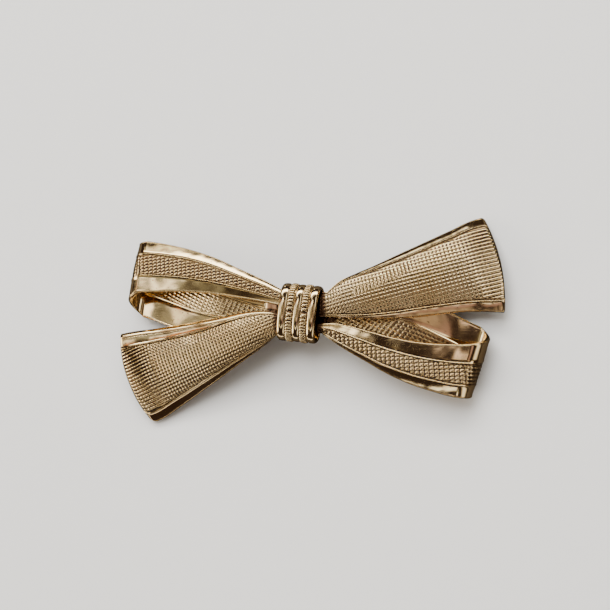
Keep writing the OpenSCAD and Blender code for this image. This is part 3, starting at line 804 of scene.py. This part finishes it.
class Finish:
    """The nodes of a material or of the sky, in the making."""

    def __init__(self, owner):
        owner.use_nodes = True
        self.owner = owner
        self.tree = owner.node_tree
        self.tree.nodes.clear()

    def node(self, kind, settings, inputs, output=0):
        """Adds a node: its type, its settings, then the values or links of its sockets."""
        made = self.tree.nodes.new(kind)
        for key, value in settings.items():
            if key == "stops":
                ramp = made.color_ramp
                while len(ramp.elements) < len(value):
                    ramp.elements.new(0.5)
                for element, (place, tone) in zip(ramp.elements, value):
                    element.position = place
                    element.color = (tone, tone, tone, 1)
            else:
                setattr(made, key, value)
        for key, value in inputs.items():
            socket = made.inputs[key]
            if isinstance(value, Wire):
                self.tree.links.new(value.socket, socket)
            elif socket.type == "RGBA":
                socket.default_value = (*value, 1)
            else:
                socket.default_value = value
        return Wire(self, made.outputs[output]) if len(made.outputs) else None

    def blend(self, share, first, second):
        """A colour between two colours."""
        return self.node("ShaderNodeMix", {"data_type": "RGBA"}, {0: share, 6: first, 7: second}, 2)

    def place(self, stretch=(1, 1, 1)):
        """Places on the object in metres, stretched along its axes."""
        at = self.node("ShaderNodeTexCoord", {}, {}, 3)
        return self.node("ShaderNodeVectorMath", {"operation": "MULTIPLY"}, {0: at, 1: stretch})

    def noise(self, scale, detail, place=None, rough=0.5):
        inputs = {"Vector": place or self.place(), "Scale": scale, "Detail": detail, "Roughness": rough}
        return self.node("ShaderNodeTexNoise", {}, inputs)

    def kept(self, key):
        """A number kept in the mesh."""
        return self.node("ShaderNodeAttribute", {"attribute_name": key}, {}, 2)

    def steps(self, value, stops):
        """A number led through a ramp's stops: place and value."""
        return self.node("ShaderNodeValToRGB", {"stops": stops}, {0: value})

    def along(self, direction, axis):
        """How far a direction points along an axis."""
        return self.node("ShaderNodeVectorMath", {"operation": "DOT_PRODUCT"}, {0: direction, 1: axis}, 1)

    def window(self, value, none, full):
        """From 0 to 1, softly, as a number goes from one value to another."""
        inputs = {0: value, 1: none, 2: full}
        return self.node("ShaderNodeMapRange", {"interpolation_type": "SMOOTHSTEP"}, inputs)

    def surface(self, inputs, height, distance, strength):
        """The finished material: a shader with these inputs, under a bump of this height."""
        bump = self.node("ShaderNodeBump", {}, {"Strength": strength, "Distance": distance, "Height": height})
        shader = self.node("ShaderNodeBsdfPrincipled", {}, {**inputs, "Normal": bump})
        self.node("ShaderNodeOutputMaterial", {}, {0: shader})
        return self.owner


PALE_GOLD = (0.94, 0.725, 0.41)
DEEP_GOLD = (0.88, 0.635, 0.31)
# Dark brown of the patina, which also paints the shade beside the knot
PATINA_AND_SHADE = (0.10, 0.055, 0.03)
RUBBED_BRASS = (0.78, 0.56, 0.28)
DULL_BRASS = (0.58, 0.38, 0.17)
# Roughness of the gold where it is clean and polished
POLISH = 0.08


def worn_gilt(name):
    """Worn gold plate: clouded colour, brown patina in the recesses, painted shade beside the knot, specks
    and hairlines where polished.
    """
    m = Finish(bpy.data.materials.new(name))
    recess, textured = m.kept("recess"), m.kept("textured")
    clouds = m.noise(scale=190, detail=4)
    smudges = m.noise(scale=620, detail=3, rough=0.6)
    specks = m.steps(m.noise(scale=2600, detail=2), [(0.0, 0.0), (0.66, 0.0), (0.72, 1.0)])
    hairlines = m.noise(scale=900, detail=4, place=m.place((0.35, 2.4, 1.0)), rough=0.7)
    tone = m.blend(m.steps(clouds, [(0.35, 0.0), (0.68, 1.0)]), PALE_GOLD, DEEP_GOLD)
    # Patina in the hollows, and painted shade beside the knot, from the mesh's mask
    darkening = ((recess ** 1.1) * (0.85 + 0.5 * smudges)).clamp()
    tone = m.blend(darkening, tone, PATINA_AND_SHADE)
    tone = m.blend(specks * (1 - textured) * 0.45, tone, PATINA_AND_SHADE)
    rough = POLISH + 0.06 * smudges + 0.06 * recess + 0.08 * textured + 0.14 * specks
    relief = 0.5 * hairlines + 0.4 * smudges - 0.3 * specks
    inputs = {"Base Color": tone, "Metallic": 1.0, "Roughness": rough}
    return m.surface(inputs, relief, distance=0.00003, strength=0.25)


def pin_gilt():
    """Plain gilt brass of the pin, rubbed on its faces."""
    m = Finish(bpy.data.materials.new("gilt_brass_pin"))
    clouds, smudges = m.noise(scale=260, detail=4), m.noise(scale=1400, detail=3)
    brushed = m.noise(scale=1500, detail=3, place=m.place((0.12, 2.0, 2.0)), rough=0.6)
    tone = m.blend(m.steps(clouds, [(0.3, 0.0), (0.7, 1.0)]), RUBBED_BRASS, DULL_BRASS)
    inputs = {"Base Color": tone, "Metallic": 1.0, "Roughness": 0.24 + 0.14 * smudges}
    return m.surface(inputs, 0.7 * brushed + 0.3 * smudges, distance=0.00004, strength=0.3)


# The brooch

# The ribbons' spans, which start a little inside the knot
TAIL_SPAN = (-0.35, 1.0)
LOOP_SPAN = (-0.15, 3.15)
# Strength of rows and lines where both make the texture, of what is left of the weaker, and of lines at the
# end of a tail
EVEN_LINES = 0.5
FAINT = 0.15
END_LINES = 0.06
# Depth of the texture on a tail's middle, and where it is deep
SHALLOW = 0.75
DEEP = 1.15


def tail_margins(inner):
    """A tail's inner and outer margins at places along it, as shares of its width."""
    return lambda s: (inner * curve(TAIL_ROWS, 1, s), TAIL_OUTER_MARGIN * curve(TAIL_ROWS, 1, s))


def loop_margins(inner, outer, inner_root, outer_root):
    """The same for a loop: shares round the fold, and at the knot, where the textured band runs out."""

    def shares(q):
        away = ease(np.minimum(q, 3 - q) / 0.7)
        return mix(inner_root, inner, away), mix(outer_root, outer, away)

    return shares


def tail_shares(flutes, ends, near_inner, t):
    """Strength of the rows and of the lines, how far they leave single peaks or single pits, how deep it is:
    pits on a tail's middle, lines alone where it is fluted, and rows alone at its end."""
    rows = mix(1.0, FAINT, flutes)
    lines = mix(mix(EVEN_LINES, END_LINES, ends), 1.0, np.maximum(flutes, near_inner))
    pits = 0.75 * (1 - ends) * (1 - flutes)
    return rows, lines, 0 * t, pits, mix(SHALLOW, DEEP, np.maximum(ends, 0.6 * flutes))


def left_tail_shares(s, t):
    """The left tail's flutes lie beside its inner margin."""
    flutes = ease((s - 0.08) / 0.1) * ease((0.64 - s) / 0.16) * ease((0.24 - t) / 0.1)
    return tail_shares(flutes, ease((s - 0.72) / 0.2), 0, t)


def right_tail_shares(s, t):
    """The right tail's flutes lie in a slanting band near its outer margin."""
    away = np.abs(t - (0.62 + 0.22 * (s - 0.2) / 0.35))
    flutes = ease((s - 0.1) / 0.1) * ease((0.6 - s) / 0.1) * ease((0.16 - away) / 0.08)
    near_inner = 0.5 * (ease((0.25 - t) / 0.15) * ease((s - 0.4) / 0.1) * ease((0.85 - s) / 0.1))
    return tail_shares(flutes, ease((s - 0.78) / 0.16), near_inner, t)


def loop_shares(fold_rows, fold_lines):
    """The same for a loop: single peaks on the front and the back, rows and lines of these strengths round
    the fold."""

    def shares(q, t):
        round_fold = ease((q - 0.97) / 0.1) * ease((2.0 - q) / 0.1)
        rows, lines = mix(0.95, fold_rows, round_fold), mix(0.95, fold_lines, round_fold)
        return rows, lines, 0.7 * (1 - round_fold), 0 * t, DEEP

    return shares


ribbon_gilt = worn_gilt("worn_gilt_ribbon")
knot_gilt = worn_gilt("worn_gilt_knot")

# Each ribbon's texture: direction of its rows in degrees, pitches of rows and lines, how much the lines
# spread towards the end and bow out, width of the end's lip, radii of the inner and the outer corner, widths
# of the bevels, how much of the inner margin's crease shows, height of the arch near the end, reach of the
# grime and painted shade from the start and from the end, power of the dirt in the pits, seed, strength of
# rows and lines
left_tail = ribbon(
    "left_tail_ribbon", tail_face(length=27.6, angle=17.3, lean=2, half=LEFT), TAIL_SPAN, tail_margins(0.18),
    {
        "direction": 21, "row_pitch": 0.49, "line_pitch": 0.50, "line_growth": 0.0, "bow": 0.75,
        "lip": 0.55, "corners": (0.5, 1.1), "inner_bevel": 0.8, "outer_bevel": 0.3, "crease": 1,
        "arch": 0.26, "grime_and_shade": (2.2, 0), "darkening": 0.85, "seed": 11, "shares": left_tail_shares,
    },
    side=1, half=LEFT, material=ribbon_gilt)
right_tail = ribbon(
    "right_tail_ribbon", tail_face(length=26.9, angle=14.3, lean=-2, half=RIGHT), TAIL_SPAN,
    tail_margins(0.13),
    {
        "direction": 14.5, "row_pitch": 0.51, "line_pitch": 0.51, "line_growth": 0.07, "bow": 0.4,
        "lip": 0.55, "corners": (0.5, 0.5), "inner_bevel": 0.26, "outer_bevel": 0.26, "crease": 0,
        "arch": 0.26, "grime_and_shade": (1.6, 0), "darkening": 1.0, "seed": 12, "shares": right_tail_shares,
    },
    side=1, half=RIGHT, material=ribbon_gilt)
left_loop = ribbon(
    "left_loop_ribbon",
    loop_face(reach=26, lean=8.5, inner_creep=3.3, inset=4, tuck=0.15, half=LEFT, crease=10),
    LOOP_SPAN, loop_margins(inner=0.36, outer=0.27, inner_root=0.42, outer_root=0.34),
    {
        "direction": 7, "row_pitch": 0.47, "line_pitch": 0.68, "line_growth": 0.0, "bow": 0.0,
        "lip": 0, "inner_bevel": 0.28, "outer_bevel": 0.22, "crease": 0.2,
        "arch": 0, "grime_and_shade": (1.3, 4.4), "darkening": 0.6, "seed": 13, "shares": loop_shares(0.12, 1.0),
    },
    side=-1, half=LEFT, material=ribbon_gilt)
right_loop = ribbon(
    "right_loop_ribbon",
    loop_face(reach=23.8, lean=19.5, inner_creep=2.5, inset=4.4, tuck=0.26, half=RIGHT, crease=11.5),
    LOOP_SPAN, loop_margins(inner=0.39, outer=0.26, inner_root=0.46, outer_root=0.20),
    {
        "direction": 2, "row_pitch": 0.5, "line_pitch": 0.68, "line_growth": 0.0, "bow": 0.0,
        "lip": 0, "inner_bevel": 0.3, "outer_bevel": 0.3, "crease": 0.1,
        "arch": 0, "grime_and_shade": (1.3, 3.2), "darkening": 0.7, "seed": 14, "shares": loop_shares(0.9, 0.35),
    },
    side=-1, half=RIGHT, material=ribbon_gilt)
knot_piece = knot("ribbed_knot", knot_gilt)

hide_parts("left_tail")
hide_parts("right_tail")
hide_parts("left_loop")
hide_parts("right_loop")
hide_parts("knot_band")

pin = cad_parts["pin_back"]
pin.data.materials.clear()
pin.data.materials.append(pin_gilt())

# Floor, light and camera

# Half the floor's side in metres, its colours, and the colour that the polished metal mirrors, darker, so
# that the edges stand out
FLOOR_HALF = 4
FLOOR_TONES = ((0.86, 0.855, 0.84), (0.88, 0.875, 0.86))
FLOOR_IN_METAL = (0.045, 0.036, 0.03)

# Soft panels of light round the object, as its polish mirrors them: direction round and up, half width,
# half height and soft edge in degrees, colour
SKY_PANELS = [
    (92, 38, 40, 6, 3, (8.6, 8.3, 7.6)),
    (130, 46, 4, 3, 3, (2.6, 2.5, 2.2)),
    (190, 25, 20, 13, 5, (5.6, 5.3, 4.8)),
    (132, 66, 7, 5, 2, (4.4, 4.2, 3.9)),
    (22, 48, 14, 6, 4, (2.2, 2.1, 1.9)),
    (15, 76, 9, 7, 4, (0.55, 0.44, 0.37)),
    (175, 55, 14, 7, 4, (0.42, 0.41, 0.33)),
    (160, 74, 9, 6, 4, (0.40, 0.34, 0.24)),
    (163, 59, 5, 3, 2, (2.8, 2.7, 2.6)),
    (160, 45, 3, 2, 2, (2.4, 2.3, 2.2)),
    (155, 40, 3, 3, 2, (1.1, 0.45, 0.2)),
    (214, 58, 4, 3, 2, (1.5, 1.3, 0.9)),
    (289, 68, 5, 3, 2, (2.4, 2.3, 2.1)),
    (308, 73, 7, 5, 4, (0.50, 0.33, 0.32)),
    (250, 64, 3.5, 3, 2, (2.6, 2.5, 2.3)),
    (208, 85, 3, 3, 2, (1.7, 1.4, 1.3)),
    (107.5, 3, 2.5, 5, 2, (2.8, 2.7, 2.4)),
    (250, 3, 34, 4, 3, (2.6, 2.4, 2.1)),
    (318, 30, 20, 12, 8, (1.7, 1.6, 1.45)),
]
SKY_BASE = (0.032, 0.020, 0.016)
BACKDROP = (0.78, 0.77, 0.75)

# The floor's lamp: direction round and up in degrees, distance and size in metres, power
LAMP_ROUND = 100
LAMP_UP = 58
LAMP_DISTANCE = 0.6
LAMP_SIZE = 0.45
LAMP_POWER = 5.0

# The camera: lens and film in millimetres, degrees off the vertical to the right and to the front, distance
# in metres, the place in millimetres that it looks at
LENS = 80.09
FILM = 36
CAMERA_RIGHT = 16
CAMERA_FRONT = 6
CAMERA_DISTANCE = 0.19
CAMERA_TARGET = (0.296, 2.288, 3.5)


def floor_plane():
    """The pale floor, which polished metal mirrors as a darker one."""
    m = Finish(bpy.data.materials.new("pale_floor"))
    grain = m.noise(scale=300, detail=4)
    mirrored = m.node("ShaderNodeLightPath", {}, {}, 3)
    tone = m.blend(mirrored, m.blend(grain, *FLOOR_TONES), FLOOR_IN_METAL)
    material = m.surface({"Base Color": tone, "Roughness": 0.85}, grain, distance=0.0002, strength=0.05)
    mesh = bpy.data.meshes.new("floor")
    corners = [(x * FLOOR_HALF, y * FLOOR_HALF, 0) for x, y in ((-1, -1), (1, -1), (1, 1), (-1, 1))]
    mesh.from_pydata(corners, [], [(0, 1, 2, 3)])
    mesh.materials.append(material)
    floor = bpy.data.objects.new("floor", mesh)
    bpy.context.scene.collection.objects.link(floor)


def direction(round_degrees, up_degrees):
    turn, up = math.radians(round_degrees), math.radians(up_degrees)
    return Vector((math.cos(up) * math.cos(turn), math.cos(up) * math.sin(turn), math.sin(up)))


def sky():
    """A dim sky with soft panels that the metal mirrors. The camera sees a plain backdrop."""
    world = bpy.data.worlds.new("studio")
    bpy.context.scene.world = world
    m = Finish(world)
    toward = m.node("ShaderNodeTexCoord", {}, {}, 0)
    tone = SKY_BASE
    for turn, up, half_width, half_height, edge, colour in SKY_PANELS:
        middle = direction(turn, up)
        across = direction(turn + 90, 0)
        share = m.window(m.along(toward, middle), 0.0, 0.1)
        for axis, half in ((across, half_width), (middle.cross(across), half_height)):
            outside, inside = (math.sin(math.radians(max(angle, 0))) for angle in (half + edge, half - edge))
            share = share * m.window(abs(m.along(toward, axis)), outside, inside)
        tone = m.blend(share, tone, colour)
    seen = m.node("ShaderNodeLightPath", {}, {}, 0)
    light = m.node("ShaderNodeBackground", {}, {"Color": m.blend(seen, tone, BACKDROP)})
    m.node("ShaderNodeOutputWorld", {}, {0: light})


def softbox():
    """A soft lamp for the floor and the shadows, which the metal doesn't mirror."""
    light = bpy.data.lights.new("softbox", "AREA")
    light.size = LAMP_SIZE
    light.energy = LAMP_POWER
    lamp = bpy.data.objects.new("softbox", light)
    away = direction(LAMP_ROUND, LAMP_UP)
    lamp.location = away * LAMP_DISTANCE
    lamp.rotation_euler = away.to_track_quat("Z", "Y").to_euler()
    lamp.visible_glossy = False
    lamp.visible_camera = False
    bpy.context.scene.collection.objects.link(lamp)


def camera():
    """The camera, nearly overhead, with the photo's upright kept upright."""
    lens = bpy.data.cameras.new("camera")
    lens.sensor_width = FILM
    lens.lens = LENS
    lens.clip_start = 0.01
    lens.clip_end = 20
    eye = bpy.data.objects.new("camera", lens)
    x, y = math.sin(math.radians(CAMERA_RIGHT)), -math.sin(math.radians(CAMERA_FRONT))
    back = Vector((x, y, math.sqrt(1 - x * x - y * y)))
    right = (-back).cross(Vector((0, 1, 0))).normalized()
    up = back.cross(right)
    axes = Matrix((right, up, back)).transposed().to_4x4()
    eye.matrix_world = Matrix.Translation(Vector(CAMERA_TARGET) * MM + back * CAMERA_DISTANCE) @ axes
    bpy.context.scene.collection.objects.link(eye)
    bpy.context.scene.camera = eye


floor_plane()
sky()
softbox()
camera()
